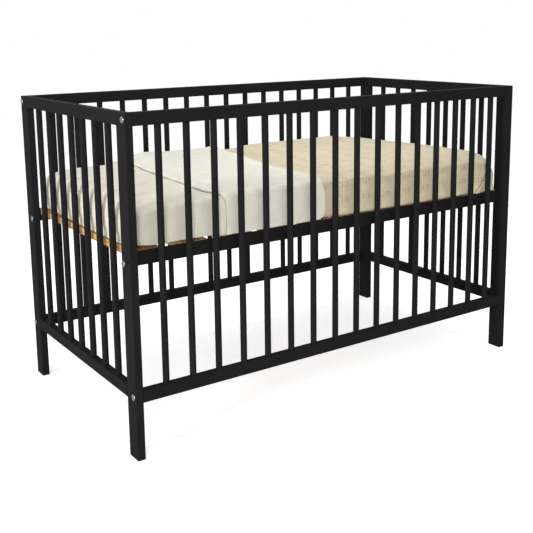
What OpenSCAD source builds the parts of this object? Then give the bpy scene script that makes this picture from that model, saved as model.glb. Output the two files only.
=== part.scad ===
// Slatted baby crib: two glued end panels, two bolted side panels and a slatted
// base that bolts in at one of three heights. The mattress and its bedding lie on it.
// Frame: +X along the length, -Y the front, +Z up. Origin on the floor, bottom centre.

/* [Overall] */
// Length over the posts
overall_length = 1240; // [1000:1:1500]
// Width over the posts
overall_width = 660; // [540:1:820]
// Height of the posts
overall_height = 800; // [660:1:1000]

/* [Posts] */
// Post size along the length of the crib
post_thick = 20; // [18:0.5:30]
// Post size across the crib
post_depth = 44; // [40:0.5:70]
// Radius that eases the long edges of posts and rails
edge_round = 2; // [0.5:0.1:4]
// Chamfer round the two ends of a post
end_ease = 1; // [0.3:0.1:3]

/* [Rails] */
// Thickness of the panel rails
rail_thick = 20; // [17:0.5:24]
// Height of the panel rails
rail_height = 30; // [25:0.5:45]
// Underside of the bottom rails above the floor
bottom_rail_z = 138; // [100:1:200]
// How much higher the bottom rails of the end panels sit
end_rail_lift = 4.5; // [0:0.5:12]

/* [Bars] */
// Diameter of the round bars
bar_dia = 16; // [13:0.1:19.2]
// Bars in each side panel
side_bar_count = 16; // [12:1:20]
// Bars in each end panel
end_bar_count = 7; // [5:1:9]
// Diameter of the tenon turned on each bar end
tenon_dia = 12; // [8:0.1:12.5]
// Length of that tenon
tenon_length = 15; // [8:0.5:20]
// Radial glue gap round tenons and pins
glue_gap = 0.05; // [0.02:0.01:0.2]
// Room left at the bottom of a blind hole
blind_room = 1; // [0.5:0.1:3]

/* [Base] */
// Gap between the side panel and the base rail
base_gap = 4; // [2:0.5:6]
// Gap between a base rail's end and the post
base_end_gap = 0.25; // [0.2:0.05:1]
// Height of the part of the base rail under the slats, which takes the bolt
ledge_height = 15; // [13:0.5:20]
// Width of the ledge that carries the slat ends
ledge_width = 12; // [10:0.5:12.5]
// Height of the bolt holes for the top base position
top_hole_z = 461; // [400:1:560]
// Distance down from one base position to the next
base_step = 160; // [130:1:192]
// Number of base positions
base_positions = 3; // [2:1:3]
// Number of slats
slat_count = 10; // [8:1:12]
// Width of a slat
slat_width = 70; // [58:1:84]
// Thickness of a slat
slat_thick = 18; // [12:0.5:22]
// Setback of the end slats from the ends of the base rails
slat_setback = 4; // [1:0.5:10]
// Gap between a slat's end and the wall of its ledge
slat_gap = 0.5; // [0.2:0.1:2]

/* [Fasteners] */
// Bolt shank diameter
bolt_dia = 6; // [5:0.1:7.2]
// Radial clearance of a bolt in its hole
bolt_clear = 0.25; // [0.1:0.05:0.5]
// Bolt head diameter
head_dia = 15; // [12:0.5:18]
// Bolt head height
head_height = 2.2; // [1.5:0.1:3.5]
// Hexagon socket across flats
socket_size = 4; // [3:0.5:5]
// Hexagon socket depth
socket_depth = 3.5; // [2:0.5:4]
// Diameter of the barrel nuts
nut_dia = 10; // [9:0.1:12]
// Length of the barrel nuts
nut_length = 12; // [9:0.5:13]
// Distance of a barrel nut's axis from the end of its rail
nut_inset = 25; // [18:0.5:32]
// How far a bolt reaches past its nut
bolt_past_nut = 2; // [1:0.5:5]
// Running gap round barrel nuts and inside their threads
nut_gap = 0.05; // [0.03:0.01:0.1]
// Diameter of the wooden pins
pin_dia = 6; // [5:0.1:7.2]
// Half length of a wooden pin
pin_half = 12; // [8:0.5:14]
// Height of the side rails' wooden pin above the rail's underside
side_pin_z = 6; // [5:0.5:7]
// Height of the lower end panel pin above the rail's underside
end_pin_z = 13.5; // [12:0.5:15]
// Spacing of the two end panel pins
end_pin_pitch = 10; // [8.5:0.5:10]
// Height of the front posts' spare hole for a day bed rail
day_hole_z = 469; // [440:1:480]
// Screw shank diameter
screw_dia = 3.5; // [3:0.1:4.2]
// Screw length
screw_length = 28; // [24:0.5:29]
// Screw head diameter
screw_head_dia = 7; // [6:0.1:8]
// Distance of a slat screw from the inner edge of the ledge
screw_edge = 3.5; // [3:0.1:5]

/* [Bedding] */
// Gap between the mattress and each end panel
mattress_end_gap = 10; // [8:1:20]
// Gap between the mattress and each side panel
mattress_side_gap = 15; // [13:1:30]
// Mattress thickness
mattress_height = 110; // [80:1:140]
// Corner radius of the mattress seen from above
mattress_corner = 56; // [54:1:90]
// Radius of its top edges
mattress_edge = 14; // [10:1:25]
// Radius of its bottom edges
mattress_foot = 4; // [3:0.5:20]
// Thickness of the fitted sheet
sheet_thick = 1.5; // [1:0.1:3]
// Thickness of one layer of the coverlet
cover_thick = 4.5; // [3:0.1:5.4]
// Where the coverlet is folded back, from the middle of the crib
cover_fold_x = -62; // [-150:1:50]
// Width of the part that is folded back
cover_turn = 308; // [200:1:370]
// Height of the coverlet's hem above the slats
cover_hem = 2; // [2:1:20]
// Air between soft pieces and what they lie on
soft_gap = 0.3; // [0.2:0.1:0.5]

/* [Hidden] */

$fn = 48;
over = 1;

paint = "#232325";
raw_wood = "#c89a5b";
zinc = "#c9ccd0";
linen = "#d3c6a4";
cream = "#dddcd0";
ticking = "#efece4";

half_l = overall_length / 2;
half_w = overall_width / 2;
inner_x = half_l - post_thick;
inner_y = half_w - post_depth;
side_rail_length = 2 * inner_x;
end_rail_length = 2 * inner_y;

top_rail_z = overall_height - rail_height;
end_bottom_z = bottom_rail_z + end_rail_lift;
tenon_hole_dia = tenon_dia + 2 * glue_gap;
pin_hole_dia = pin_dia + 2 * glue_gap;
bolt_hole_dia = bolt_dia + 2 * bolt_clear;

side_y = half_w - rail_thick / 2;
end_x = half_l - rail_thick / 2;
side_bar_x = even_centres(side_bar_count, bar_dia, side_rail_length);
end_bar_y = even_centres(end_bar_count, bar_dia, end_rail_length);

base_rail_thick = post_depth - rail_thick - base_gap;
base_y = inner_y + base_rail_thick / 2;
base_rail_length = side_rail_length - 2 * base_end_gap;
base_z = top_hole_z - ledge_height / 2;
slat_z = base_z + ledge_height;
base_rail_height = ledge_height + slat_thick;
base_hole_z = [for (i = [0:base_positions - 1]) top_hole_z - i * base_step];
slat_length = 2 * (inner_y + ledge_width - slat_gap);
slat_span = base_rail_length - 2 * slat_setback - slat_width;
slat_x = [for (i = [0:slat_count - 1]) (i / (slat_count - 1) - 0.5) * slat_span];
screw_y = inner_y + screw_edge;

side_axis_z = [for (z = [bottom_rail_z, top_rail_z]) z + rail_height / 2];
nut_x = inner_x - nut_inset;
base_nut_x = nut_x - base_end_gap;
bolt_length = post_thick + nut_inset + nut_dia / 2 + bolt_past_nut;
base_bolt_length = bolt_length + base_end_gap;

mattress_z = slat_z + slat_thick + soft_gap;
mattress_length = side_rail_length - 2 * mattress_end_gap;
mattress_width = overall_width - 2 * (rail_thick + mattress_side_gap);
sheet_out = soft_gap + sheet_thick;
cover_in = sheet_out + soft_gap;
cover_out = cover_in + cover_thick;

// Centres of n pieces of width w that share the length l with equal gaps
function even_centres(n, w, l) =
    [for (i = [0:n - 1]) -l / 2 + w / 2 + (l - n * w) / (n + 1) * (i + 1) + i * w];

// ---- shared shapes ----

module eased_rect(w, h, r) {
    square([w - 2 * r, h], center = true);
    square([w, h - 2 * r], center = true);
    for (x = [-1, 1], y = [-1, 1])
        translate([x * (w / 2 - r), y * (h / 2 - r)]) circle(r);
}

module chamfered_rect(w, h, c) {
    x = w / 2;
    y = h / 2;
    polygon([[c - x, -y], [x - c, -y], [x, c - y], [x, y - c],
             [x - c, y], [c - x, y], [-x, y - c], [-x, c - y]]);
}

// A bar of wood along X, centred, with eased long edges and its underside at z = 0
module x_stick(length, thick, height) {
    translate([0, 0, height / 2]) rotate([90, 0, 90])
        linear_extrude(length, center = true) eased_rect(thick, height, edge_round);
}

module x_hole(d, length) {
    rotate([0, 90, 0]) cylinder(d = d, h = length, center = true);
}

// Blind hole for a tenon or pin, down from z = 0
module blind_hole(d, depth) {
    translate([0, 0, -depth]) cylinder(d = d, h = depth + over);
}

// ---- posts ----

module post_blank() {
    intersection() {
        linear_extrude(overall_height) eased_rect(post_thick, post_depth, edge_round);
        translate([0, 0, overall_height / 2]) rotate([90, 0, 0])
            linear_extrude(post_depth + over, center = true)
                chamfered_rect(post_thick, overall_height, end_ease);
        translate([0, 0, overall_height / 2]) rotate([90, 0, 90])
            linear_extrude(post_thick + over, center = true)
                chamfered_rect(post_depth, overall_height, end_ease);
    }
}

// sx is -1 at the left end and sy is -1 at the front
module post(sx, sy) {
    middle_x = half_l - post_thick / 2;
    color(paint) difference() {
        translate([sx * middle_x, sy * (half_w - post_depth / 2), 0]) post_blank();
        // bolts that hold the side panels
        for (z = side_axis_z)
            translate([sx * middle_x, sy * side_y, z]) x_hole(bolt_hole_dia, post_thick + over);
        // one hole for each height of the base
        for (z = base_hole_z)
            translate([sx * middle_x, sy * base_y, z]) x_hole(bolt_hole_dia, post_thick + over);
        // spare hole for the rail of a day bed
        if (sy < 0)
            translate([sx * middle_x, sy * side_y, day_hole_z]) x_hole(bolt_hole_dia, post_thick + over);
        // pins of the side panels
        for (z = [bottom_rail_z, top_rail_z])
            translate([sx * inner_x, sy * side_y, z + side_pin_z])
                rotate([0, -sx * 90, 0]) blind_hole(pin_hole_dia, pin_half + blind_room);
        // pins of the end panel
        for (z = [end_bottom_z, top_rail_z], k = [0, 1])
            translate([sx * end_x, sy * inner_y, z + end_pin_z + k * end_pin_pitch])
                rotate([sy * 90, 0, 0]) blind_hole(pin_hole_dia, pin_half + blind_room);
    }
}

// ---- end panels ----

// facing is 1 where the bars stand on the rail and -1 where they hang from it
module end_rail(sx, z, facing) {
    color(paint) difference() {
        translate([sx * end_x, 0, z]) rotate([0, 0, 90]) x_stick(end_rail_length, rail_thick, rail_height);
        translate([sx * end_x, 0, z + rail_height / 2]) for (y = end_bar_y)
            translate([0, y, facing * rail_height / 2]) rotate([facing < 0 ? 180 : 0, 0, 0])
                blind_hole(tenon_hole_dia, tenon_length + blind_room);
        for (sy = [-1, 1], k = [0, 1])
            translate([sx * end_x, sy * inner_y, z + end_pin_z + k * end_pin_pitch])
                rotate([-sy * 90, 0, 0]) blind_hole(pin_hole_dia, pin_half + blind_room);
    }
}

// A round bar with a shouldered tenon on each end, between a rail at z and the top rail
module bar(z) {
    r = bar_dia / 2;
    t = tenon_dia / 2;
    lead = 0.8;
    foot = z + rail_height;
    translate([0, 0, foot]) rotate_extrude() polygon([
        [0, -tenon_length], [t - lead, -tenon_length], [t, lead - tenon_length], [t, 0], [r, 0],
        [r, top_rail_z - foot], [t, top_rail_z - foot], [t, top_rail_z - foot + tenon_length - lead],
        [t - lead, top_rail_z - foot + tenon_length], [0, top_rail_z - foot + tenon_length]]);
}

module end_bars(sx) {
    color(paint) for (y = end_bar_y)
        translate([sx * end_x, y, 0]) bar(end_bottom_z);
}

// A wooden pin along X, chamfered at both ends
module pin() {
    r = pin_dia / 2;
    lead = 0.8;
    rotate([0, 90, 0]) rotate_extrude() polygon([
        [0, -pin_half], [r - lead, -pin_half], [r, lead - pin_half],
        [r, pin_half - lead], [r - lead, pin_half], [0, pin_half]]);
}

module end_panel_pins() {
    color(raw_wood) for (sx = [-1, 1], sy = [-1, 1], z = [end_bottom_z, top_rail_z], k = [0, 1])
        translate([sx * end_x, sy * inner_y, z + end_pin_z + k * end_pin_pitch])
            rotate([0, 0, 90]) pin();
}

// ---- side panels ----

// Barrel nut hole, bored up into a rail from its underside at z = 0
module nut_hole(axis_z) {
    depth = axis_z + nut_length / 2 + blind_room / 2;
    translate([0, 0, -over]) cylinder(d = nut_dia + 2 * nut_gap, h = depth + over);
}

// Bolt hole from the end of a rail to just past its nut
module rail_bolt_hole(sx, end, axis_z) {
    reach = nut_inset + nut_dia / 2 + bolt_past_nut + blind_room;
    translate([sx * (end - (reach - over) / 2), 0, axis_z]) x_hole(bolt_hole_dia, reach + over);
}

module side_rail(sy, z, facing) {
    color(paint) translate([0, sy * side_y, z]) difference() {
        x_stick(side_rail_length, rail_thick, rail_height);
        translate([0, 0, rail_height / 2]) for (x = side_bar_x)
            translate([x, 0, facing * rail_height / 2]) rotate([facing < 0 ? 180 : 0, 0, 0])
                blind_hole(tenon_hole_dia, tenon_length + blind_room);
        for (sx = [-1, 1]) {
            rail_bolt_hole(sx, inner_x, rail_height / 2);
            translate([sx * nut_x, 0, 0]) nut_hole(rail_height / 2);
            translate([sx * inner_x, 0, side_pin_z])
                rotate([0, sx * 90, 0]) blind_hole(pin_hole_dia, pin_half + blind_room);
        }
    }
}

module side_bars(sy) {
    color(paint) for (x = side_bar_x)
        translate([x, sy * side_y, 0]) bar(bottom_rail_z);
}

module side_rail_pins() {
    color(raw_wood) for (sx = [-1, 1], sy = [-1, 1], z = [bottom_rail_z, top_rail_z])
        translate([sx * inner_x, sy * side_y, z + side_pin_z]) pin();
}

// ---- bolts and nuts ----

// Connector bolt along -Z with a low flat head that has a bevelled rim and a hexagon socket
module bolt(length) {
    r = bolt_dia / 2;
    h = head_dia / 2;
    bevel = head_height * 0.4;
    lead = 0.8;
    difference() {
        rotate_extrude() polygon([
            [0, -length], [r - lead, -length], [r, lead - length], [r, 0], [h, 0],
            [h, head_height - bevel], [h - bevel, head_height], [0, head_height]]);
        translate([0, 0, head_height - socket_depth])
            cylinder(d = socket_size / cos(30), h = socket_depth + over, $fn = 6);
    }
}

// Barrel nut standing on its bolt's axis, with a slot in its lower end to turn it with
module barrel_nut() {
    slot = 1.2;
    difference() {
        cylinder(d = nut_dia, h = nut_length, center = true);
        x_hole(bolt_dia + 2 * nut_gap, nut_dia + over);
        translate([0, 0, -nut_length / 2]) cube([slot, nut_dia + over, slot * 2], center = true);
    }
}

module frame_bolts() {
    color(zinc) for (sx = [-1, 1], sy = [-1, 1], z = side_axis_z)
        translate([sx * half_l, sy * side_y, z]) rotate([0, sx * 90, 0]) bolt(bolt_length);
}

module frame_barrel_nuts() {
    color(zinc) for (sx = [-1, 1], sy = [-1, 1], z = side_axis_z)
        translate([sx * nut_x, sy * side_y, z]) barrel_nut();
}

module base_bolts() {
    color(zinc) for (sx = [-1, 1], sy = [-1, 1])
        translate([sx * half_l, sy * base_y, top_hole_z]) rotate([0, sx * 90, 0]) bolt(base_bolt_length);
}

module base_barrel_nuts() {
    color(zinc) for (sx = [-1, 1], sy = [-1, 1])
        translate([sx * base_nut_x, sy * base_y, top_hole_z]) barrel_nut();
}

// ---- base ----

// Rail with a ledge along its inner side, which the slats lie on
module base_rail(sy) {
    color(paint) difference() {
        translate([0, sy * base_y, base_z]) x_stick(base_rail_length, base_rail_thick, base_rail_height);
        translate([0, sy * (inner_y + (ledge_width - over) / 2), slat_z + (slat_thick + over) / 2])
            cube([base_rail_length + over, ledge_width + over, slat_thick + over], center = true);
        for (sx = [-1, 1]) translate([0, sy * base_y, base_z]) {
            rail_bolt_hole(sx, base_rail_length / 2, ledge_height / 2);
            translate([sx * base_nut_x, 0, 0]) nut_hole(ledge_height / 2);
        }
        for (x = slat_x)
            translate([x, sy * screw_y, slat_z]) blind_hole(screw_dia, screw_length - slat_thick);
    }
}

module base_slat(i) {
    ease = edge_round / 2;
    color(raw_wood) translate([slat_x[i - 1], 0, slat_z]) difference() {
        translate([0, 0, slat_thick / 2]) rotate([90, 0, 0])
            linear_extrude(slat_length, center = true) eased_rect(slat_width, slat_thick, ease);
        for (sy = [-1, 1])
            translate([0, sy * screw_y, slat_thick]) screw_space();
    }
}

// What a countersunk screw takes out of a slat, and the screw itself: top at z = 0
module screw_space() {
    blind_hole(screw_dia, slat_thick + over);
    sink = (screw_head_dia - screw_dia) / 2;
    translate([0, 0, -sink]) cylinder(d1 = screw_dia, d2 = screw_head_dia, h = sink);
    cylinder(d = screw_head_dia, h = over);
}

module slat_screws() {
    r = screw_dia / 2;
    h = screw_head_dia / 2;
    tip = 4;
    color(zinc) for (x = slat_x, sy = [-1, 1])
        translate([x, sy * screw_y, slat_z + slat_thick]) rotate_extrude() polygon([
            [0, -screw_length], [r, tip - screw_length], [r, r - h], [h, 0], [0, 0]]);
}

// ---- mattress and bedding ----

module puck(corner, height, edge, foot) {
    rotate_extrude($fn = 32) intersection() {
        square([corner, height]);
        union() {
            square([corner - edge, height]);
            square([corner - foot, height - edge]);
            translate([0, foot]) square([corner, height - edge - foot]);
            translate([corner - edge, height - edge]) circle(edge, $fn = 32);
            translate([corner - foot, foot]) circle(foot, $fn = 16);
        }
    }
}

// The mattress's form grown by a margin all round and on top, and lowered by a drop
module mattress_form(margin, drop = 0) {
    corner = mattress_corner + margin;
    x = mattress_length / 2 + margin - corner;
    y = mattress_width / 2 + margin - corner;
    translate([0, 0, mattress_z - drop]) hull()
        for (sx = [-1, 1], sy = [-1, 1]) translate([sx * x, sy * y, 0])
            puck(corner, mattress_height + margin + drop,
                 mattress_edge + margin, mattress_foot + margin);
}

module mattress() {
    color(ticking) mattress_form(0);
}

// A cloth over the mattress from x0 to x1, which hangs straight down to z
module cloth(inside, outside, x0, x1, z) {
    drop = mattress_foot + outside;
    difference() {
        intersection() {
            mattress_form(outside, drop);
            slab(x0, x1, z);
        }
        mattress_form(inside, drop + over);
    }
}

module fitted_sheet() {
    color(linen) cloth(soft_gap, sheet_out, -half_l, half_l, mattress_z);
}

// Lies over the left half, hangs down both sides, and is folded back on itself
module coverlet() {
    hem_z = mattress_z + cover_hem;
    color(cream) {
        cloth(cover_in, cover_out, -half_l, cover_fold_x, hem_z);
        cloth(cover_in, cover_out + cover_thick, cover_fold_x - cover_turn, cover_fold_x, hem_z);
    }
}

// Everything between two planes across the crib and above a height
module slab(x0, x1, z) {
    translate([x0, -half_w, z]) cube([x1 - x0, overall_width, overall_height]);
}

post(-1, -1);  // post_front_left
post(1, -1);  // post_front_right
post(-1, 1);  // post_back_left
post(1, 1);  // post_back_right
end_rail(-1, top_rail_z, -1);  // left_end_top_rail
end_rail(-1, end_bottom_z, 1);  // left_end_bottom_rail
end_bars(-1);  // left_end_bars
end_rail(1, top_rail_z, -1);  // right_end_top_rail
end_rail(1, end_bottom_z, 1);  // right_end_bottom_rail
end_bars(1);  // right_end_bars
side_rail(-1, top_rail_z, -1);  // front_top_rail
side_rail(-1, bottom_rail_z, 1);  // front_bottom_rail
side_bars(-1);  // front_bars
side_rail(1, top_rail_z, -1);  // back_top_rail
side_rail(1, bottom_rail_z, 1);  // back_bottom_rail
side_bars(1);  // back_bars
end_panel_pins();
side_rail_pins();
frame_bolts();
frame_barrel_nuts();
base_rail(-1);  // base_front_rail
base_rail(1);  // base_back_rail
base_bolts();
base_barrel_nuts();
slat_screws();
mattress();
fitted_sheet();
coverlet();
for (i = [1:slat_count])
    base_slat(i);
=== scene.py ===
import math

import bmesh
import bpy
from mathutils import Matrix, Vector, noise


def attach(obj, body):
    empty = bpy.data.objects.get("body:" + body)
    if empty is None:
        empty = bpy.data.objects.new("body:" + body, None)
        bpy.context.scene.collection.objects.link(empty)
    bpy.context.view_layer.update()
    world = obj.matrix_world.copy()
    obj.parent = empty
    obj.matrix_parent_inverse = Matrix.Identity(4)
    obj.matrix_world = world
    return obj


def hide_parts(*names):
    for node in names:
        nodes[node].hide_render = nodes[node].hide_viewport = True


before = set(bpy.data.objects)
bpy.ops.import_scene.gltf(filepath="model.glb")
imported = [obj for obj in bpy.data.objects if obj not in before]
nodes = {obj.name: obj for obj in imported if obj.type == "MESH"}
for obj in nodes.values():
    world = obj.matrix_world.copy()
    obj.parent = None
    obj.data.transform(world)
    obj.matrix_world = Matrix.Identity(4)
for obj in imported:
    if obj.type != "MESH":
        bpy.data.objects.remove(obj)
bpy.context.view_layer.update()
millimetre = 0.001  # all lengths are in metres where no comment says otherwise
hair = millimetre / 10  # nearer than this is the same place

# camera

viewpoint = {
    "place": (-1.4035, -2.0188, 0.9731),  # metres, in front of the left end
    "heading": 34.21,  # degrees to the right of straight on
    "tilt": -10.15,
    "roll": -0.74,
    "lens": 58.4,  # millimetres
    "sensor": 36,
    "drop": -0.156,  # a shift downwards, which brings the posts nearer upright
}


def makeCamera():
    camera = bpy.data.objects.new("camera", bpy.data.cameras.new("camera"))
    bpy.context.scene.collection.objects.link(camera)
    turn = Matrix.Rotation(-math.radians(viewpoint["heading"]), 4, "Z")
    lean = Matrix.Rotation(math.radians(90 + viewpoint["tilt"]), 4, "X")
    roll = Matrix.Rotation(math.radians(viewpoint["roll"]), 4, "Z")
    camera.matrix_world = Matrix.Translation(viewpoint["place"]) @ turn @ lean @ roll
    camera.data.sensor_width = viewpoint["sensor"]
    camera.data.lens = viewpoint["lens"]
    camera.data.shift_y = viewpoint["drop"]
    bpy.context.scene.camera = camera


makeCamera()
print("camera placed")

# material helpers


def linear(hexColour):
    # sRGB hex to the linear values that the sockets take
    parts = [int(hexColour[i:i + 2], 16) / 255 for i in (1, 3, 5)]
    return tuple(c / 12.92 if c <= 0.04045 else ((c + 0.055) / 1.055) ** 2.4 for c in parts) + (1,)


def addNode(tree, kind, inputs, **settings):
    # inputs maps a socket's name or number to a value or to the socket it is linked from
    node = tree.nodes.new("ShaderNode" + kind)
    for name, value in settings.items():
        setattr(node, name, value)
    for name, value in inputs.items():
        if isinstance(value, bpy.types.NodeSocket):
            tree.links.new(value, node.inputs[name])
        else:
            node.inputs[name].default_value = value
    return node


def newMaterial(name):
    material = bpy.data.materials.new(name)
    material.use_nodes = True
    material.node_tree.nodes.clear()
    return material, material.node_tree


def finishMaterial(tree, surface):
    addNode(tree, "OutputMaterial", {"Surface": surface.outputs[0]})


def blend(tree, share, first, second):
    # a colour from the first at 0 to the second at 1
    mixed = addNode(tree, "Mix", {"Factor": share, "A": first, "B": second}, data_type="RGBA")
    return mixed.outputs["Result"]


def remap(tree, value, source, target=(0.0, 1.0), **settings):
    # carries the source range over to the target range, and stops at its ends
    return addNode(tree, "MapRange", {
        "Value": value, "From Min": source[0], "From Max": source[1],
        "To Min": target[0], "To Max": target[1]}, **settings).outputs[0]


def stretched(tree, place, along, width, length):
    # the place counted in pattern widths, and in pattern lengths along one axis; both in millimetres
    scale = [1000 / width] * 3
    scale[along] = 1000 / length
    return addNode(tree, "Mapping", {"Vector": place, "Scale": scale}).outputs[0]


# frame finishes

paint = {
    "dark": "#1a1a1b",
    "light": "#222224",
    "cloudScale": 14.0,  # to the metre
    "poreWidth": 2.2,  # millimetres
    "poreLength": 60,
    "poreRange": (0.3, 0.7),  # the part of the noise that counts
    "poreDepth": 0.06,
    "poreStrength": 0.35,
    "roughness": (0.56, 0.70),
    "specular": 0.02,
}


def paintedBeech(name, along):
    # black water-based lacquer sprayed on beech: even satin black, the pores just telegraph through
    material, tree = newMaterial(name)
    place = addNode(tree, "TexCoord", {}).outputs["Object"]
    grain = stretched(tree, place, along, paint["poreWidth"], paint["poreLength"])
    pores = addNode(tree, "TexNoise", {"Vector": grain, "Scale": 1.0, "Detail": 3.0, "Roughness": 0.6})
    cloud = addNode(tree, "TexNoise", {"Vector": place, "Scale": paint["cloudScale"], "Detail": 2.0})
    tone = blend(tree, cloud.outputs["Fac"], linear(paint["dark"]), linear(paint["light"]))
    rough = remap(tree, pores.outputs["Fac"], paint["poreRange"], paint["roughness"])
    bump = addNode(tree, "Bump", {"Height": pores.outputs["Fac"], "Strength": paint["poreStrength"],
                                  "Distance": paint["poreDepth"] * millimetre})
    surface = addNode(tree, "BsdfPrincipled", {
        "Base Color": tone, "Roughness": rough, "Normal": bump.outputs[0],
        "Specular IOR Level": paint["specular"]})
    finishMaterial(tree, surface)
    return material


slatWood = {
    "early": "#d9b074",
    "late": "#b88548",
    "ringWidth": 7,  # millimetres
    "ringLength": 280,
    "ringRange": (0.38, 0.62),  # of the noise, from early wood to late
    "waver": 0.6,
    "fibreWidth": 0.8,
    "fibreLength": 48,
    "fibreDepth": 0.1,
    "fibreStrength": 0.5,
    "roughness": 0.72,
}


def sawnPine(name, along):
    # planed pine left bare: matt, warm tan, late wood lines running along the slat
    material, tree = newMaterial(name)
    place = addNode(tree, "TexCoord", {}).outputs["Object"]
    rings = stretched(tree, place, along, slatWood["ringWidth"], slatWood["ringLength"])
    ring = addNode(tree, "TexNoise", {"Vector": rings, "Scale": 1.0, "Detail": 1.0,
                                      "Distortion": slatWood["waver"]})
    fibres = stretched(tree, place, along, slatWood["fibreWidth"], slatWood["fibreLength"])
    fibre = addNode(tree, "TexNoise", {"Vector": fibres, "Scale": 1.0, "Detail": 2.0})
    band = remap(tree, ring.outputs["Fac"], slatWood["ringRange"])
    tone = blend(tree, band, linear(slatWood["early"]), linear(slatWood["late"]))
    bump = addNode(tree, "Bump", {"Height": fibre.outputs["Fac"], "Strength": slatWood["fibreStrength"],
                                  "Distance": slatWood["fibreDepth"] * millimetre})
    surface = addNode(tree, "BsdfPrincipled", {
        "Base Color": tone, "Roughness": slatWood["roughness"], "Normal": bump.outputs[0]})
    finishMaterial(tree, surface)
    return material


zincPlate = {
    "dark": "#7d8378",
    "light": "#a4a99c",
    "cloudScale": 260.0,  # to the metre
    "roughness": (0.22, 0.42),
}


def zincPlatedSteel():
    # bright zinc over turned steel: cool grey metal with a faint cloudy passivation
    material, tree = newMaterial("zincPlatedSteel")
    place = addNode(tree, "TexCoord", {}).outputs["Object"]
    cloud = addNode(tree, "TexNoise", {"Vector": place, "Scale": zincPlate["cloudScale"], "Detail": 3.0})
    tone = blend(tree, cloud.outputs["Fac"], linear(zincPlate["dark"]), linear(zincPlate["light"]))
    rough = remap(tree, cloud.outputs["Fac"], (0.0, 1.0), zincPlate["roughness"])
    surface = addNode(tree, "BsdfPrincipled", {"Base Color": tone, "Metallic": 1.0, "Roughness": rough})
    finishMaterial(tree, surface)
    return material


def finishFrame():
    uprights = paintedBeech("blackLacqueredBeechUpright", 2)
    lengthwise = paintedBeech("blackLacqueredBeechLengthwise", 0)
    crosswise = paintedBeech("blackLacqueredBeechCrosswise", 1)
    pine = sawnPine("barePineSlat", 1)
    pins = sawnPine("bareBeechPin", 0)
    zinc = zincPlatedSteel()
    for name, obj in nodes.items():
        if name in ("mattress", "fitted_sheet", "coverlet"):
            continue
        if "slat_screws" in name or "bolts" in name or "nuts" in name:
            finish = zinc
        elif "slat" in name:
            finish = pine
        elif "pins" in name:
            finish = pins
        elif "post" in name or "bars" in name:
            finish = uprights
        elif "end" in name:
            finish = crosswise
        else:
            finish = lengthwise
        obj.data.materials.clear()
        obj.data.materials.append(finish)


finishFrame()
print("frame finished")

# bedding: one ruled block gives the swollen mattress, and the sheet and coverlet are laid over its faces

mattressPad = {
    "length": 1.177,  # before it swells
    "reach": 0.004,  # how much further the foot end comes
    "reachFrom": 0.35,  # and from where along the crib
    "width": 0.5885,
    "bottom": 0.4885,  # a sheet's hem lies between this and the slats
    "top": 0.5815,
    "corner": 0.012,
    "topEdge": 0.0045,
    "bottomEdge": 0.003,
    "crown": ((0.05, 0.0085), (0.25, 0.0125)),  # along the crib, and how high
    "frontShoulder": ((0.05, 3), (0.25, 10)),  # how late the crown falls away towards the front
    "backShoulder": 40,
    "headRound": 0.0115,  # its head end stands out this much further at half height
    "headReach": 0.0035,  # and there reaches this much past the block
    "headFrom": 0.50,
    "headInset": 0.004,  # the sides draw in this much towards the head end
    "insetAlong": (0.36, 0.43),  # where that begins and is full
    "insetAcross": 0.20,
    "riseFrom": 0.10,  # this far in front of the middle, the back's rise and the front's begin
    "frontRise": ((-0.59, -0.009), (-0.50, -0.0065), (-0.41, -0.003), (-0.34, 0.0), (-0.25, 0.003),
                  (-0.19, 0.001), (0.0, 0.0), (0.08, 0.002), (0.17, -0.002), (0.30, 0.0)),
    "backRise": ((-0.59, -0.0045), (-0.41, -0.003), (-0.37, 0.004), (-0.30, 0.0175), (-0.20, 0.0130),
                 (-0.09, 0.0125), (0.0, 0.0100), (0.09, 0.0165), (0.25, 0.0140), (0.43, 0.0140),
                 (0.47, 0.0075), (0.52, 0.0035), (0.566, -0.005), (0.59, -0.007)),
    "cornerDrop": (0.055, 0.055, 0.012, 0.045),  # the sheet's elastic pulls the foam's corners down
    "cornerReach": (0.028, 0.028, 0.022, 0.022),  # foot's front and back, then the head's
    "flare": 0.0045,  # where no coverlet holds it in, its foot stands out this much
    "flareAlong": (-0.045, 0.010),
    "flareAcross": 0.240,
    "flareHeight": 0.030,
    "edgeAcross": (0.255, 0.288),  # its long edges, which lift off the slats
    "edgeHeight": 0.020,
    "headLift": 0.005,  # near the head end
    "headLiftAlong": (-0.40, -0.35),
    "cornerLift": 1.6,  # and this many times more at the corner itself
    "cornerLiftAlong": (-0.5885, -0.56),
    "ripple": 0.0022,  # and a little all along
    "rippleScale": (31, 5),
    "rippleSeed": 2,
    "pressure": 4,
    "steps": 9,
    "swell": (0.0030, 0.0025, 0.0020),  # furthest that it may move lengthwise, across and up
    # along each axis, places in metres from one end of the block and the spacing of the ruled lines there
    "spacing": (
        ((0, 0.0032), (0.020, 0.0055), (0.06, 0.014), (0.15, 0.017), (0.19, 0.0070), (0.25, 0.0070),
         (0.27, 0.015), (0.44, 0.019), (0.49, 0.0055), (0.53, 0.0055), (0.57, 0.016), (0.62, 0.025),
         (1.00, 0.025), (1.07, 0.0075), (1.15, 0.0055), (1.177, 0.0032)),
        ((0, 0.0032), (0.020, 0.0055), (0.06, 0.012), (0.10, 0.023), (0.4885, 0.023), (0.5285, 0.012),
         (0.5685, 0.0055), (0.5885, 0.0032)),
        ((0, 0.0030), (0.012, 0.0085), (0.072, 0.0085), (0.084, 0.0036), (0.093, 0.0028))),
}


def smoothStep(value, start, end):
    level = min(max((value - start) / (end - start), 0), 1)
    return level * level * (3 - 2 * level)


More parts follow.
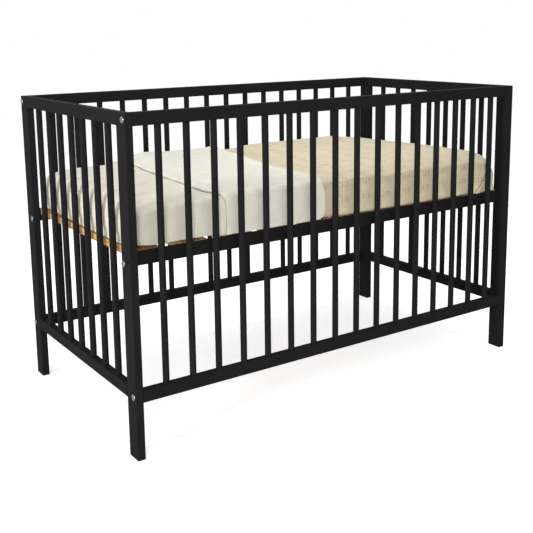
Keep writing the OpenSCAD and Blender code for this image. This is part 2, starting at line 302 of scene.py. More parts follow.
def lineAt(line, place):
    # the line's value at a place, eased between its points
    for (start, low), (end, high) in zip(line, line[1:]):
        if place <= end:
            return low + (high - low) * smoothStep(place, start, end)
    return line[-1][1]


def noiseAt(place, scale, seed=0):
    # the seed is the third coordinate where the scale has only two
    parts = [part * pitch for part, pitch in zip(place, scale)]
    return noise.noise(Vector(parts if len(parts) == 3 else (*parts, seed)))


def ruledLines(length, spacing):
    # places from 0 to the length, as far apart as the spacing asks for at each
    places = [0]
    while places[-1] < length:
        here = places[-1]
        (start, near), (end, far) = next(
            pair for pair in zip(spacing, spacing[1:]) if here <= pair[1][0] or pair[1] is spacing[-1])
        places.append(here + near + (far - near) * min((here - start) / (end - start), 1))
    return [place * length / places[-1] for place in places]


def ruledBlock(size):
    # a box ruled into rectangles, each vertex keeping its place in the box
    low = Vector((-size["length"] / 2, -size["width"] / 2, size["bottom"]))
    high = Vector((size["length"] / 2, size["width"] / 2, size["top"]))
    form = bmesh.new()
    bmesh.ops.create_cube(form, size=1.0)
    bmesh.ops.translate(form, vec=(0.5, 0.5, 0.5), verts=form.verts)
    lines = [ruledLines((high - low)[axis], size["spacing"][axis]) for axis in range(3)]
    for axis in range(3):
        along = [e for e in form.edges if abs(e.verts[0].co[axis] - e.verts[1].co[axis]) > 0.5]
        bmesh.ops.subdivide_edges(form, edges=along, cuts=len(lines[axis]) - 2)
    ruled = form.verts.layers.float_vector.new("ruled")
    for vert in form.verts:
        for axis in range(3):
            vert.co[axis] = low[axis] + lines[axis][round(vert.co[axis] * (len(lines[axis]) - 1))]
        vert[ruled] = vert.co
    return form


def squareToRound(a, b):
    # carries a quarter square to a quarter disc of the same radius
    reach = math.hypot(a, b)
    if a <= 0 or b <= 0:
        return a, b
    return a * max(a, b) / reach, b * max(a, b) / reach


def roundOff(form, size):
    coreX, coreY = size["length"] / 2 - size["corner"], size["width"] / 2 - size["corner"]
    middle = (size["bottom"] + size["top"]) / 2
    for vert in form.verts:
        x, y, z = vert.co
        awayX, awayY = squareToRound(max(abs(x) - coreX, 0), max(abs(y) - coreY, 0))
        away = math.hypot(awayX, awayY)
        side = 1 if z > middle else -1
        edge = size["topEdge"] if side > 0 else size["bottomEdge"]
        level = (size["top"] if side > 0 else size["bottom"]) - side * edge
        past, above = squareToRound(away - (size["corner"] - edge), side * (z - level))
        if away > 0:
            kept = (size["corner"] - edge + past) / away
            awayX, awayY = awayX * kept, awayY * kept
        vert.co = (math.copysign(min(abs(x), coreX) + awayX, x),
                   math.copysign(min(abs(y), coreY) + awayY, y), level + side * above)


def crownRise(x, y, size):
    # higher along the middle and the back, and drawn down at the four corners
    inward = size["length"] / 2 - abs(x) + size["width"] / 2 - abs(y)
    shoulder = size["backShoulder"] if y > 0 else lineAt(size["frontShoulder"], x)
    rise = lineAt(size["crown"], x) * (1 - abs(2 * y / size["width"]) ** shoulder)
    rise += lineAt(size["backRise"], x) * smoothStep(y, -size["riseFrom"], size["width"] / 2)
    rise += lineAt(size["frontRise"], x) * smoothStep(-y, size["riseFrom"], size["width"] / 2)
    corner = 2 * (x < 0) + (y > 0)
    return rise - size["cornerDrop"][corner] * math.exp(-inward / size["cornerReach"][corner])


def edgeLift(x, y, z, size):
    # the long edges stand a little off the slats, most at the head end
    edge = smoothStep(abs(y), *size["edgeAcross"])
    edge *= 1 - smoothStep(z, size["bottom"], size["bottom"] + size["edgeHeight"])
    headwards = 1 - smoothStep(x, *size["headLiftAlong"])
    headwards += size["cornerLift"] * (1 - smoothStep(x, *size["cornerLiftAlong"]))
    ripple = 0.5 + noiseAt((x, y), size["rippleScale"], size["rippleSeed"])
    return edge * (size["headLift"] * headwards + size["ripple"] * max(ripple, 0))


def shapePad(form, size):
    depth = size["top"] - size["bottom"]
    for vert in form.verts:
        x, y, z = vert.co
        vert.co.z += crownRise(x, y, size) * (z - size["bottom"]) / depth
        vert.co.x += size["reach"] * smoothStep(x, size["reachFrom"], size["length"] / 2)
        level = (2 * z - size["top"] - size["bottom"]) / depth
        headwards = smoothStep(-x, size["headFrom"], size["length"] / 2)
        vert.co.x += (size["headRound"] * level * level - size["headReach"]) * headwards
        inset = size["headInset"] * smoothStep(-x, *size["insetAlong"])
        inset *= smoothStep(abs(y), size["insetAcross"], size["width"] / 2)
        vert.co.y -= math.copysign(inset, y)
        flare = 1 - smoothStep(z, size["bottom"], size["bottom"] + size["flareHeight"])
        wide = smoothStep(abs(y), size["flareAcross"], size["width"] / 2)
        flare *= smoothStep(x, *size["flareAlong"]) * wide
        vert.co.y += math.copysign(size["flare"] * flare, y)
        vert.co.z += edgeLift(x, y, z, size)


def newPiece(name, form):
    mesh = bpy.data.meshes.new(name)
    form.to_mesh(mesh)
    form.free()
    mesh.shade_smooth()
    piece = bpy.data.objects.new(name, mesh)
    bpy.context.scene.collection.objects.link(piece)
    return piece


def swell(piece, size):
    # cloth under pressure, held to a furthest move in each direction and never drawn in
    start = [vert.co.copy() for vert in piece.data.vertices]
    cloth = piece.modifiers.new("swell", "CLOTH")
    cloth.settings.use_pressure = True
    cloth.settings.uniform_pressure_force = size["pressure"]
    cloth.settings.effector_weights.gravity = 0
    cloth.point_cache.frame_start = 1
    cloth.point_cache.frame_end = size["steps"]
    for step in range(1, size["steps"] + 1):
        bpy.context.scene.frame_set(step)
    swollen = piece.evaluated_get(bpy.context.evaluated_depsgraph_get()).to_mesh()
    moved = [vert.co - place for vert, place in zip(swollen.vertices, start)]
    piece.modifiers.clear()
    middle = (size["bottom"] + size["top"]) / 2
    for vert, place, move in zip(piece.data.vertices, start, moved):
        outwards = (place.x, place.y, place.z - middle)
        for axis, most in enumerate(size["swell"]):
            move[axis] = most * math.tanh(move[axis] / most) if move[axis] * outwards[axis] > 0 else 0
        vert.co = place + move
        vert.co.z = max(vert.co.z, size["bottom"])
    bpy.context.scene.frame_set(1)


def makeMattressPad(size):
    form = ruledBlock(size)
    roundOff(form, size)
    shapePad(form, size)
    pad = newPiece("mattressPad", form)
    swell(pad, size)
    return pad


pad = makeMattressPad(mattressPad)
print("mattress swollen")


def layFlat(form, size):
    # the cut's own coordinates in metres, as the block's sides fold down flat round its top
    ruled = form.verts.layers.float_vector["ruled"]
    flat = form.loops.layers.uv.new("flatCut")
    halfX, halfY = size["length"] / 2, size["width"] / 2
    for face in form.faces:
        spots = [loop.vert[ruled] for loop in face.loops]
        onEnd = all(abs(abs(spot.x) - halfX) < hair for spot in spots)
        onSide = all(abs(abs(spot.y) - halfY) < hair for spot in spots)
        for loop, spot in zip(face.loops, spots):
            drop = size["top"] - spot.z
            if onEnd:
                loop[flat].uv = (spot.x + math.copysign(drop, spot.x), spot.y)
            elif onSide:
                loop[flat].uv = (spot.x, spot.y + math.copysign(drop, spot.y))
            else:
                loop[flat].uv = (spot.x, spot.y)


fittedSheet = {
    "clear": 0.0003,
    "thick": 0.0011,
    "tuck": 0.034,  # how far the hem reaches in under the mattress
    "cut": (1.46, 0.88),  # flat, before its four corners are cut out and sewn
    "cutArea": 1.20,
    "slack": 0.0006,
    "slackScale": 9,
    "slackSeed": (3, 1, 7),
    "slackHeight": 0.02,
    "cornerReach": (0.115, 0.060),  # the part of each long side and of the foot end that a corner takes up
    "fineReach": (0.108, 0.060),  # the part ruled finer at the foot's front corner
    "finestBand": 0.009,  # and finer still this near its fold
    # height, and how far from the corner the fold runs there
    "foldLine": ((0.485, 0.0925), (0.497, 0.0825), (0.503, 0.0695), (0.511, 0.0585), (0.518, 0.0535),
                 (0.528, 0.0475), (0.537, 0.0415), (0.550, 0.0365), (0.565, 0.0385), (0.575, 0.0435),
                 (0.584, 0.0485)),
    "foldTop": (0.560, 0.592),  # height over which it dies away
    "fold": 0.0055,  # how far the tuck at a corner stands out
    "lap": 0.0040,  # and the cloth that goes in under it
    "foldRises": (0.0002, 0.0040),  # from how far past the line to how far, here and in the next five
    "foldFades": (0.005, 0.034),
    "lapRises": (-0.020, -0.006),
    "lapEnds": (-0.0036, -0.0012),
    "tuckShadeRises": (-0.0050, -0.0030),  # painted shade in the tuck's groove: where its dark tint begins
    "tuckShadeEnds": (0.0006, 0.0022),
    "gather": 0.0010,
    "gatherPitch": 0.013,
    "gatherReach": (0.10, 0.05),
    "gatherHeight": (0.004, 0.030),
}


def pastFold(spot, size, sheet):
    # distance past the tuck's line, towards the corner
    away = (size["length"] / 2 - abs(spot.x)) - (size["width"] / 2 - abs(spot.y))
    return lineAt(sheet["foldLine"], spot.z) - away


def layFittedSheet(pad, size, sheet):
    form = bmesh.new()
    form.from_mesh(pad.data)
    ruled = form.verts.layers.float_vector["ruled"]
    halfX, halfY = size["length"] / 2, size["width"] / 2

    def underneath(face):
        spot = face.calc_center_median()
        flat = all(abs(vert[ruled].z - size["bottom"]) < hair for vert in face.verts)
        return flat and min(halfX - abs(spot.x), halfY - abs(spot.y)) > sheet["tuck"]

    def nearCorner(vert, reach):
        spot = vert[ruled]
        return (spot.x > halfX - reach[0] and abs(spot.y) > halfY - reach[1]
                and (spot.x > halfX - millimetre or abs(spot.y) > halfY - millimetre))

    def inFineCorner(vert):
        return vert[ruled].y < 0 and nearCorner(vert, sheet["fineReach"])

    def byFold(vert):
        return (vert[ruled].y < 0 and nearCorner(vert, sheet["cornerReach"])
                and abs(pastFold(vert.co, size, sheet)) < sheet["finestBand"])

    bmesh.ops.delete(form, geom=[f for f in form.faces if underneath(f)], context="FACES")
    for inside, cuts in ((inFineCorner, 1), (byFold, 2)):
        edges = [e for e in form.edges if all(inside(vert) for vert in e.verts)]
        bmesh.ops.subdivide_edges(form, edges=edges, cuts=cuts, use_grid_fill=True)
    form.normal_update()
    # a layer for the painted shade in the tuck's groove
    paintedTuckShade = form.verts.layers.float.new("paintedTuckShade")
    moves = []
    for vert in form.verts:
        spot = vert[ruled]
        lift = sheet["clear"]
        loose = 0.5 + 0.5 * noise.noise(spot * sheet["slackScale"] + Vector(sheet["slackSeed"]))
        raised = smoothStep(spot.z, size["bottom"], size["bottom"] + sheet["slackHeight"])
        lift += sheet["slack"] * loose * raised
        if nearCorner(vert, sheet["cornerReach"]):
            past, height = pastFold(vert.co, size, sheet), vert.co.z - size["bottom"]
            fold = smoothStep(past, *sheet["foldRises"]) * (1 - smoothStep(past, *sheet["foldFades"]))
            lap = smoothStep(past, *sheet["lapRises"]) * (1 - smoothStep(past, *sheet["lapEnds"]))
            level = 1 - smoothStep(vert.co.z, *sheet["foldTop"])
            lift += level * (sheet["fold"] * fold + sheet["lap"] * lap)
            # painted shade: the tuck's groove is darkened in place of its shadow
            dark = level * smoothStep(past, *sheet["tuckShadeRises"])
            vert[paintedTuckShade] = dark * (1 - smoothStep(past, *sheet["tuckShadeEnds"]))
            ripple = math.sin((abs(spot.x) - abs(spot.y)) * 2 * math.pi / sheet["gatherPitch"])
            edge = smoothStep(halfX - abs(spot.x) + halfY - abs(spot.y), *sheet["gatherReach"])
            gathered = edge * sheet["gather"] * (1 + ripple) * 0.5
            lift += gathered * (1 - smoothStep(height, *sheet["gatherHeight"]))
        moves.append(vert.normal * lift)
    for vert, move in zip(form.verts, moves):
        vert.co += move
        vert.co.z = max(vert.co.z, size["bottom"] - sheet["clear"])
    layFlat(form, size)
    return newPiece("fittedSheet", form)


sheetPiece = layFittedSheet(pad, mattressPad, fittedSheet)
print("sheet fitted")

coverlet = {
    "clear": 0.0004,
    "thick": 0.0034,
    "hemShare": 0.78,  # the cloth's thickness over its doubled hem's
    "hemWidth": 0.009,
    "hemFade": 0.004,
    "cut": (0.85, 0.97),
    "cutArea": 0.80,
    # how it hangs
    "hangFrom": 0.500,  # below this it hangs straight
    "foot": 0.4880,  # height of its lower hem
    # place along, and how much higher it hangs there
    "footRise": ((-0.60, 0.0140), (-0.575, 0.0080), (-0.55, 0.0045), (-0.40, 0.0045), (-0.36, 0.0010)),
    "cornerReach": 0.03,  # at the head end it rises as much as the first of these, this near the corners
    "endRise": 0.006,  # and climbs towards the back
    "endRiseAcross": (-0.05, 0.20),
    "footWave": 0.0012,
    "waveScale": (30, 30),
    "waveLevel": 0.6,
    "swing": 0.0009,  # its foot stands out in soft waves
    "swingDepth": 0.018,
    "swingScale": (16, 16),
    "swingSeed": 3,
    "uneven": 0.0005,  # all over
    "unevenScale": (14, 14, 14),
    # how it is folded back
    "foldNear": -0.062,  # the ruled lines nearest to these two become the fold and the turned-back hem
    "hemNear": -0.370,
    "easeFrom": -0.45,  # the lower layer's lines shift with the fold from here on
    # place across, from the front hem (-) over the top to the back one, and place along
    "foldLine": ((-0.40, -0.105), (-0.387, -0.080), (-0.379, -0.065), (-0.366, -0.059), (-0.325, -0.061),
                 (-0.295, -0.068), (-0.264, -0.069), (-0.232, -0.075), (-0.189, -0.081), (-0.140, -0.084),
                 (-0.088, -0.084), (0.003, -0.072), (0.099, -0.057), (0.168, -0.064), (0.228, -0.055),
                 (0.255, -0.043), (0.30, -0.036), (0.40, -0.034)),
    "hemLine": ((-0.40, -0.357), (-0.382, -0.355), (-0.365, -0.352), (-0.330, -0.352), (-0.304, -0.355),
                (-0.292, -0.362), (-0.284, -0.371), (-0.276, -0.377), (-0.254, -0.386), (-0.218, -0.390),
                (-0.114, -0.389), (-0.058, -0.387), (0.008, -0.382), (0.07, -0.379), (0.153, -0.369),
                (0.30, -0.350), (0.40, -0.343)),
    "layerGap": 0.0003,
    "roll": 0.0055,  # how far the fold stands out past the line
    "rollCut": 0.014,  # cloth that goes round the fold
    "rollCuts": 4,
    "topFacing": (0.2, 0.9),  # the outward direction's upward part, at the side and on top
    "puff": 0.0042,
    "puffReach": 0.022,
    "puffSide": 0.35,  # the share of it that is left at the side
    "wrinkle": 0.0012,
    "wrinkleScale": (42, 7, 9),
    "wrinkleSide": 0.3,
    "crumple": 0.0030,  # close to the turned hem
    "crumpleRises": 0.008,
    "crumpleFades": (0.012, 0.05),
    "crumpleScale": (60, 38, 38),
    "crumpleLevel": 0.6,
    "crumpleSide": 0.2,
    "sideDepth": 0.006,  # the lighter colour reaches this far in from the side, and goes down it
    # how far from the turned hem or the fold a mark begins to fade and is gone
    "lighterByHem": (0.034, 0.040),
    "lighterByFold": (0.012, 0.024),
    # the painted shadow along the turned hem's edge
    "stitching": (0.0030, 0.0070),
}


def coverletLayers(form):
    # place in the block, outward direction, and 1 where the cloth is turned back
    vectors = form.verts.layers.float_vector
    return vectors["ruled"], vectors["out"], form.verts.layers.float["turn"]


def cutCoverlet(form, size, cloth):
    # keeps the head part without its underside and doubles what is turned back
    form.normal_update()
    form.verts.layers.float_vector.new("out")
    form.verts.layers.float.new("turn")
    ruled, out, turn = coverletLayers(form)
    for vert in form.verts:
        vert[out] = vert.normal
    lines = sorted({round(vert[ruled].x, 5) for vert in form.verts})
    foldAt = min(lines, key=lambda x: abs(x - cloth["foldNear"]))
    hemAt = min(lines, key=lambda x: abs(x - cloth["hemNear"]))

    def isUnder(face):
        return all(abs(vert[ruled].z - size["bottom"]) < hair for vert in face.verts)

    def middle(face):
        return sum(vert[ruled].x for vert in face.verts) / len(face.verts)

    bmesh.ops.delete(form, geom=[f for f in form.faces if isUnder(f) or middle(f) > foldAt],
                     context="FACES")
    upper = bmesh.ops.duplicate(form, geom=[f for f in form.faces if middle(f) > hemAt])["geom"]
    upperFaces = [g for g in upper if isinstance(g, bmesh.types.BMFace)]
    bmesh.ops.reverse_faces(form, faces=upperFaces)
    for vert in {v for face in upperFaces for v in face.verts}:
        vert[turn] = 1
    return foldAt, hemAt


def hangCoverlet(form, size, cloth):
    # straight down below the mattress's widest
    ruled, out, turn = coverletLayers(form)
    halfX, halfY = size["length"] / 2, size["width"] / 2
    columns = {}
    for vert in form.verts:
        spot = vert[ruled]
        if abs(spot.x) > halfX - hair or abs(spot.y) > halfY - hair:
            columns.setdefault((round(spot.x, 4), round(spot.y, 4), vert[turn]), []).append(vert)
    for column in columns.values():
        column.sort(key=lambda vert: -vert[ruled].z)
        hung = [vert for vert in column if vert[ruled].z < cloth["hangFrom"]]
        top = column[len(column) - len(hung) - 1]
        for vert in hung:
            share = (top[ruled].z - vert[ruled].z) / (top[ruled].z - size["bottom"])
            wave = noiseAt(top.co, cloth["waveScale"], 5 * vert[turn])
            foot = cloth["foot"] + cloth["footWave"] * (cloth["waveLevel"] + wave)
            if top[ruled].x < millimetre - halfX:
                corner = smoothStep(abs(top.co.y), halfY - cloth["cornerReach"], halfY)
                foot += max(cloth["endRise"] * smoothStep(top.co.y, *cloth["endRiseAcross"]),
                            cloth["footRise"][0][1] * corner)
            else:
                foot += lineAt(cloth["footRise"], top.co.x)
            vert.co = (top.co.x, top.co.y, top.co.z + (foot - top.co.z) * share)
            vert[out] = Vector((top[out].x, top[out].y, 0)).normalized()


def shareOf(side, onTop):
    # the side's share at the side, the whole on top
    return side + (1 - side) * onTop


def layLayers(form, size, cloth, foldAt, hemAt):
    # the lower layer goes on the sheet, the turned-back one on the lower, and both are drawn to their lines
    ruled, out, turn = coverletLayers(form)
    halfX, halfY = size["length"] / 2, size["width"] / 2
    sheet = fittedSheet
    level = sheet["clear"] + sheet["thick"] + sheet["slack"] + cloth["clear"] + cloth["thick"] / 2
    for vert in form.verts:
        spot = vert[ruled].copy()
        across = spot.y
        if abs(spot.y) > halfY - millimetre:
            across += math.copysign(size["top"] - spot.z, spot.y)
        fold, hem = lineAt(cloth["foldLine"], across), lineAt(cloth["hemLine"], across)
        low = smoothStep(cloth["hangFrom"] - spot.z, 0, cloth["swingDepth"])
        lift = level + cloth["uneven"] * noiseAt(spot, cloth["unevenScale"])
        lift += low * cloth["swing"] * (1 + noiseAt(spot, cloth["swingScale"], cloth["swingSeed"]))
        if vert[turn]:
            place = hem + (spot.x - hemAt) / (foldAt - hemAt) * (fold - hem)
            puffed = cloth["puff"] * math.exp(-((foldAt - spot.x) / cloth["puffReach"]) ** 2)
            onTop = smoothStep(vert[out].z, *cloth["topFacing"])
            lift += cloth["thick"] + cloth["layerGap"] + puffed * shareOf(cloth["puffSide"], onTop)
            wrinkled = 0.5 + 0.5 * noiseAt(spot, cloth["wrinkleScale"])
            lift += cloth["wrinkle"] * wrinkled * shareOf(cloth["wrinkleSide"], onTop)
            fromHem = spot.x - hemAt
            byHem = smoothStep(fromHem, 0, cloth["crumpleRises"])
            byHem *= 1 - smoothStep(fromHem, *cloth["crumpleFades"])
            dent = cloth["crumpleLevel"] + noiseAt(spot, cloth["crumpleScale"])
            lift += cloth["crumple"] * byHem * dent * shareOf(cloth["crumpleSide"], onTop)
            vert[ruled] = Vector((2 * foldAt + cloth["rollCut"] - spot.x, spot.y, spot.z))
        else:
            place = spot.x + smoothStep(spot.x, cloth["easeFrom"], foldAt) * (fold - foldAt)
        if abs(spot.x) < halfX - hair:
            vert.co.x += place - spot.x
        vert.co += vert[out] * lift


def rollFold(form, cloth, foldAt):
    # the fold itself, bridged from the lower layer to the turned-back one
    ruled, out, turn = coverletLayers(form)

    def onLine(edge, layer, at):
        return edge.is_boundary and all(
            v[turn] == layer and abs(v[ruled].x - at) < hair for v in edge.verts)

    ends = [e for e in form.edges if onLine(e, 0, foldAt) or onLine(e, 1, foldAt + cloth["rollCut"])]
    bridged = bmesh.ops.bridge_loops(form, edges=ends)
    across = [e for e in bridged["edges"] if e.verts[0][turn] != e.verts[1][turn]]
    bmesh.ops.subdivide_edges(form, edges=across, cuts=cloth["rollCuts"])
    for vert in form.verts:
        if 0 < vert[turn] < 1:
            angle = math.pi * vert[turn]
            depth = cloth["thick"] + cloth["puff"]
            vert.co.x += cloth["roll"] * math.sin(angle)
            vert.co += vert[out].normalized() * depth * ((1 - math.cos(angle)) / 2 - vert[turn])


def markHem(piece, size, cloth, foldAt, hemAt):
    # the hem, folded double, is the full thickness; the cloth is coloured lighter near the turned hem and
    # the fold, down the side, and the turned hem's edge carries painted shadow
    group = piece.vertex_groups.new(name="hem")
    for name in ("lighterOnSide", "paintedHemShadow"):
        piece.data.attributes.new(name, "FLOAT", "POINT")
    lighterOnSide, paintedHemShadow, turned, spots = (
        piece.data.attributes[name].data for name in ("lighterOnSide", "paintedHemShadow", "turn", "ruled"))
    fullFrom, fullTo = cloth["hemWidth"], cloth["hemWidth"] + cloth["hemFade"]
    foldEdge = foldAt + cloth["rollCut"]
    farEdge = 2 * foldAt + cloth["rollCut"] - hemAt
    for index in range(len(piece.data.vertices)):
        spot = Vector(spots[index].vector)
        toEdge = spot.z - size["bottom"]
        if turned[index].value == 1:
            toEdge = min(toEdge, farEdge - spot.x)
        share = 1 - (1 - cloth["hemShare"]) * smoothStep(toEdge, fullFrom, fullTo)
        group.add([index], share, "REPLACE")
        if turned[index].value > 0:
            fromHem, fromFold = farEdge - spot.x, spot.x - foldEdge
            onSide = smoothStep(abs(spot.y), size["width"] / 2 - cloth["sideDepth"], size["width"] / 2)
            nearHem = 1 - smoothStep(fromHem, *cloth["lighterByHem"])
            # lighter near the turned hem and the fold, on the side only
            lighterOnSide[index].value = onSide * max(nearHem, 1 - smoothStep(fromFold, *cloth["lighterByFold"]))
            # painted shadow: the turned hem's edge is darkened to stand in for the shadow line there
            paintedHemShadow[index].value = 1 - smoothStep(fromHem, *cloth["stitching"])


def layCoverlet(pad, size, cloth):
    form = bmesh.new()
    form.from_mesh(pad.data)
    foldAt, hemAt = cutCoverlet(form, size, cloth)
    hangCoverlet(form, size, cloth)
    layLayers(form, size, cloth, foldAt, hemAt)
    rollFold(form, cloth, foldAt)
    bmesh.ops.recalc_face_normals(form, faces=[])
    layFlat(form, size)
    piece = newPiece("foldedCoverlet", form)
    markHem(piece, size, cloth, foldAt, hemAt)
    return piece


coverPiece = layCoverlet(pad, mattressPad, coverlet)
print("coverlet folded back")


def finishBedding():
    for piece, node, slotName in ((pad, "mattress", "mattress_cover"),
                                  (sheetPiece, "fitted_sheet", "beige_cotton"),
                                  (coverPiece, "coverlet", "cream_cotton")):
        rounded = piece.modifiers.new("rounded", "SUBSURF")
        rounded.levels = rounded.render_levels = 1
        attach(piece, "bedding")
        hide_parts(node)
    for piece, cloth, side in ((sheetPiece, fittedSheet, 1), (coverPiece, coverlet, 0)):
        wall = piece.modifiers.new("clothThickness", "SOLIDIFY")
        wall.thickness = cloth["thick"]
        wall.offset = side
        if "hem" in piece.vertex_groups:
            wall.vertex_group = "hem"
            wall.material_offset = 1


finishBedding()

cottonCloth = {
    "threadPitch": 1.3,  # millimetres, about twice the real one so that it still shows
    "threadShare": 0.5,  # of the relief, beside the slubs
    "threadWaver": 0.6,
    "waveLength": math.pi / 10,  # of the wave pattern at a scale of 1
    "slubWidth": 1.6,
    "slubLength": 45,
    "cloudWidth": 38,
    "toneRange": (1.15, 1.85),  # of slubs and cloud together, from the dark colour to the light
    "crinkleWidth": 11,
    "reliefDepth": 0.10,
    "reliefStrength": 0.8,
    "roughness": 0.86,
    "specular": 0.2,
    "fuzz": 0.12,
    "fuzzRoughness": 0.5,
}


def wovenCotton(name, dark, light, crinkle=1.5, motif=None, tints=None):
    # plain-woven cotton: matt, a little fuzzy at grazing angles, with thick and thin yarns both ways
    material, tree = newMaterial(name)
    cloth = cottonCloth
    flat = addNode(tree, "UVMap", {}, uv_map="flatCut").outputs[0]
    waves = cloth["waveLength"] * 1000 / cloth["threadPitch"]
    yarns = []
    for along, bands in ((0, "Y"), (1, "X")):
        place = stretched(tree, flat, along, cloth["slubWidth"], cloth["slubLength"])
        slub = addNode(tree, "TexNoise", {"Vector": place, "Scale": 1.0, "Detail": 2.0})
        thread = addNode(tree, "TexWave", {
            "Vector": flat, "Scale": waves, "Distortion": cloth["threadWaver"], "Detail": 0.0},
            bands_direction=bands)
        yarns.append((slub.outputs["Fac"], thread.outputs["Fac"]))
    slubs = addNode(tree, "Math", {0: yarns[0][0], 1: yarns[1][0]}, operation="ADD")
    cloud = addNode(tree, "TexNoise", {"Vector": flat, "Scale": 1000 / cloth["cloudWidth"], "Detail": 3.0})
    mixed = addNode(tree, "Math", {0: slubs.outputs[0], 1: cloud.outputs["Fac"]}, operation="ADD")
    level = remap(tree, mixed.outputs[0], cloth["toneRange"])
    colour = blend(tree, level, linear(dark), linear(light))
    threads = addNode(tree, "Math", {0: yarns[0][1], 1: yarns[1][1]}, operation="MULTIPLY")
    weave = addNode(tree, "Math", {0: threads.outputs[0], 1: cloth["threadShare"], 2: slubs.outputs[0]},
                    operation="MULTIPLY_ADD")
    soft = addNode(tree, "TexNoise", {"Vector": flat, "Scale": 1000 / cloth["crinkleWidth"], "Detail": 2.0})
    relief = addNode(tree, "Math", {0: soft.outputs["Fac"], 1: crinkle, 2: weave.outputs[0]},
                     operation="MULTIPLY_ADD")
    height = relief.outputs[0]
    if motif:
        colour, height = addMotif(tree, flat, colour, height, motif)
    for attribute, tint in (tints or {}).items():
        near = addNode(tree, "Attribute", {}, attribute_name=attribute)
        colour = blend(tree, near.outputs["Fac"], colour, linear(tint))
    bump = addNode(tree, "Bump", {"Height": height, "Strength": cloth["reliefStrength"],
                                  "Distance": cloth["reliefDepth"] * millimetre})
    surface = addNode(tree, "BsdfPrincipled", {
        "Base Color": colour, "Roughness": cloth["roughness"], "Normal": bump.outputs[0],
        "Specular IOR Level": cloth["specular"], "Sheen Weight": cloth["fuzz"],
        "Sheen Roughness": cloth["fuzzRoughness"]})
    finishMaterial(tree, surface)
    return material


chevrons = {
    "pitch": (0.0735, 0.038),  # from one woven motif to the next
    "origin": (0.0125, -0.3085),
    "half": (0.014, 0.0072),
    "stroke": 0.0090,  # from one stroke to the next
    "softEdge": 0.001,
    "darken": 0.68,
    "depth": 8.0,
    "plainFrom": 0.370,  # the cloth is plain towards its hem
}


def addMotif(tree, flat, colour, height, motif):
    # small groups of three chevrons, raised in the weave

    def vectors(operation, first, second):
        return addNode(tree, "VectorMath", {0: first, 1: second}, operation=operation).outputs[0]

    def numbers(operation, *values):
        return addNode(tree, "Math", dict(enumerate(values)), operation=operation).outputs[0]

    centred = vectors("SUBTRACT", flat, (*motif["origin"], 0))
    spaced = vectors("DIVIDE", centred, (*motif["pitch"], 1))
    shifted = vectors("ADD", spaced, (0.5, 0.5, 0.5))
    cell = addNode(tree, "VectorMath", {0: shifted}, operation="FRACTION").outputs[0]
    inner = vectors("SUBTRACT", cell, (0.5, 0.5, 0))
    local = vectors("MULTIPLY", inner, (*motif["pitch"], 1))
    parts = addNode(tree, "SeparateXYZ", {0: local})
    across = numbers("ABSOLUTE", parts.outputs["Y"])
    stripes = numbers("ADD", parts.outputs["X"], across)
    inside = numbers("COSINE", numbers("MULTIPLY", stripes, math.tau / motif["stroke"]))
    along = numbers("ADD", stripes, -motif["half"][1] / 2)
    place = addNode(tree, "SeparateXYZ", {0: flat})
    limits = ((along, motif["half"][0]), (parts.outputs["Y"], motif["half"][1]),
              (place.outputs["Y"], motif["plainFrom"]))
    for offset, half in limits:
        within = remap(tree, numbers("ABSOLUTE", offset), (half, half - motif["softEdge"]),
                       interpolation_type="SMOOTHSTEP")
        inside = numbers("MULTIPLY", inside, within)
    raised = numbers("MULTIPLY_ADD", inside, motif["depth"], height)
    shade = remap(tree, inside, (-1.0, 1.0), (motif["darken"], 2 - motif["darken"]))
    toned = addNode(tree, "VectorMath", {0: colour, "Scale": shade}, operation="SCALE")
    return toned.outputs[0], raised


bedCloths = {
    "wovenTicking": {"dark": "#cfccc0", "light": "#e6e4da"},
    "beigeWovenCotton": {"dark": "#cfc2a3", "light": "#e0d4b9", "crinkle": 7.0, "motif": chevrons,
                         # painted shade: the dark tint in the corner tuck's groove
                         "tints": {"paintedTuckShade": "#3f3120"}},
    "creamWovenCotton": {"dark": "#d2cfbf", "light": "#e0ddcd"},
    "offWhiteCottonBacking": {"dark": "#dbd9cd", "light": "#e8e6da",
                              # painted shadow: the dark brown tint along the turned hem's edge; the
                              # near-white tint lightens the cloth near the hem and the fold, down the side
                              "tints": {"lighterOnSide": "#f3f2f2", "paintedHemShadow": "#4e3b30"}},
}


def paintBedding():
    ticking, beige, cream, white = (wovenCotton(name, **look) for name, look in bedCloths.items())
    pad.data.materials.append(ticking)
    sheetPiece.data.materials.append(beige)
    coverPiece.data.materials.append(cream)
    coverPiece.data.materials.append(white)


paintBedding()
print("bedding finished")

# studio

studio = {
    "floorSize": 12,  # metres
    "floorColour": "#f2f2f0",
    "floorGlow": 0.62,  # only where it is looked at
    "glowColour": "#f6faff",
    "skyLevel": 0.45,
    "aim": (0, 0, 0.5),  # where every lamp points
}
lamps = {
    "topLamp": {"place": (0, -0.3, 3.2), "size": 2.8, "power": 53, "colour": (1, 1, 1)},
    "leftLamp": {"place": (-3.5, -1.2, 0.95), "size": 0.55, "power": 60, "colour": (1, 1, 1)},
    "frontLamp": {"place": (-3.9, -5.0, 2.1), "size": 1.3, "power": 128, "colour": (1.0, 0.95, 0.92)},
}


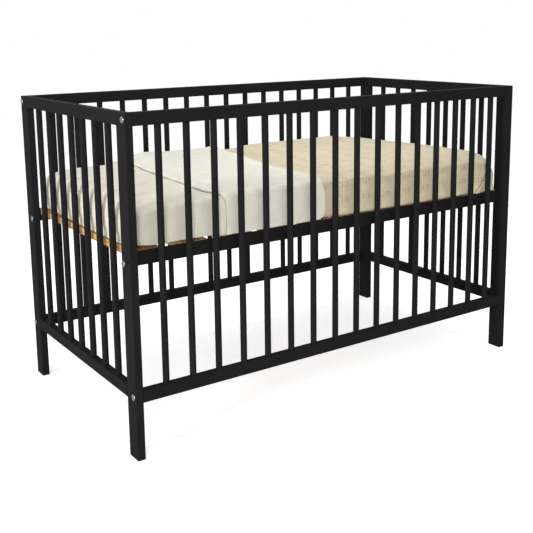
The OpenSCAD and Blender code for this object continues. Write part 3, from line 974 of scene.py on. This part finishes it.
def makeWorld():
    # white where it is looked at or mirrored, a plain level where it lights
    world = bpy.data.worlds.new("studio")
    bpy.context.scene.world = world
    world.use_nodes = True
    tree = world.node_tree
    tree.nodes.clear()
    path = addNode(tree, "LightPath", {})
    seen = addNode(tree, "Math", {0: path.outputs["Is Camera Ray"], 1: path.outputs["Is Glossy Ray"]},
                   operation="ADD")
    seen = addNode(tree, "Math", {0: seen.outputs[0], 1: path.outputs["Is Transmission Ray"]},
                   operation="ADD", use_clamp=True)
    level = remap(tree, seen.outputs[0], (0.0, 1.0), (studio["skyLevel"], 1.0))
    sky = addNode(tree, "Background", {"Color": (1, 1, 1, 1), "Strength": level})
    addNode(tree, "OutputWorld", {"Surface": sky.outputs[0]})


def makeFloor():
    mesh = bpy.data.meshes.new("floor")
    form = bmesh.new()
    bmesh.ops.create_grid(form, x_segments=1, y_segments=1, size=studio["floorSize"] / 2)
    form.to_mesh(mesh)
    form.free()
    floor = bpy.data.objects.new("floor", mesh)
    bpy.context.scene.collection.objects.link(floor)
    material, tree = newMaterial("paleStudioFloor")
    path = addNode(tree, "LightPath", {})
    matt = addNode(tree, "BsdfDiffuse", {"Color": linear(studio["floorColour"])})
    glow = addNode(tree, "Emission", {"Color": linear(studio["glowColour"]),
                                      "Strength": studio["floorGlow"]})
    lifted = addNode(tree, "AddShader", {0: matt.outputs[0], 1: glow.outputs[0]})
    seen = addNode(tree, "MixShader", {0: path.outputs["Is Camera Ray"], 1: matt.outputs[0],
                                       2: lifted.outputs[0]})
    finishMaterial(tree, seen)
    mesh.materials.append(material)


def makeLamp(name, place, size, power, colour):
    lamp = bpy.data.lights.new(name, "AREA")
    lamp.shape = "DISK"
    lamp.size = size
    lamp.energy = power
    lamp.color = colour
    holder = bpy.data.objects.new(name, lamp)
    bpy.context.scene.collection.objects.link(holder)
    aim = (Vector(studio["aim"]) - Vector(place)).to_track_quat("-Z", "Y")
    holder.matrix_world = Matrix.Translation(place) @ aim.to_matrix().to_4x4()


makeWorld()
makeFloor()
for lampName, lampValues in lamps.items():
    makeLamp(lampName, **lampValues)
print("studio lit")

bpy.context.scene.view_settings.view_transform = "Standard"
